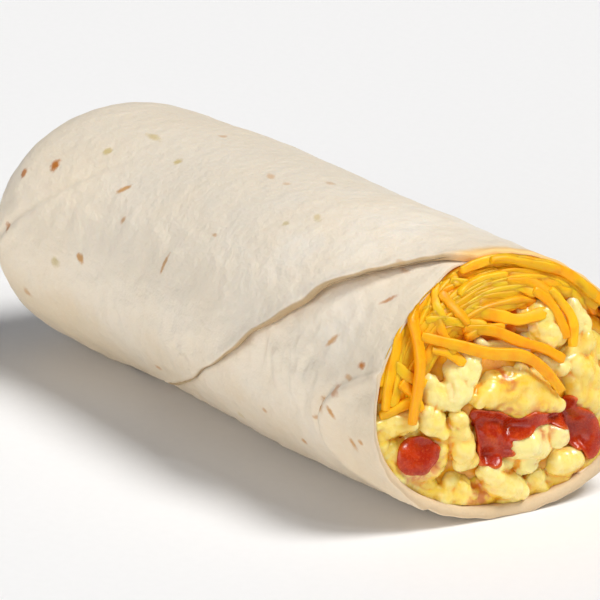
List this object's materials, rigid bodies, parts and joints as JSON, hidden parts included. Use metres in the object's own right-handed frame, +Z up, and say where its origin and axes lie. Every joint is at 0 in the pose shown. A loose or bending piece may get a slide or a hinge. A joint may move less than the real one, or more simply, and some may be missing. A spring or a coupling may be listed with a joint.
{
  "type": "burrito",
  "caption": "Rolled flour tortilla burrito lying down, folded shut at its far end and open at its near end on scrambled egg, shredded cheese and red sauce.",
  "frame": {"origin": "on the surface that the burrito lies on, under the middle of its bounding box", "axes": "+X along the roll towards its open mouth, +Z up, -Y the side that shows the flap's free edge"},
  "size_m": [0.1464, 0.064, 0.0504],
  "materials": {
    "tortilla": "matt flour dough with a few small toasted spots",
    "egg": "moist pale yellow curds",
    "cheese": "soft satin orange-yellow shreds",
    "sauce": "wet dark red sauce"
  },
  "bodies": {
    "root": {"tortilla": "tortilla", "egg": "egg", "cheese": "cheese", "sauce_front": "sauce", "sauce_back": "sauce"}
  },
  "joints": []
}
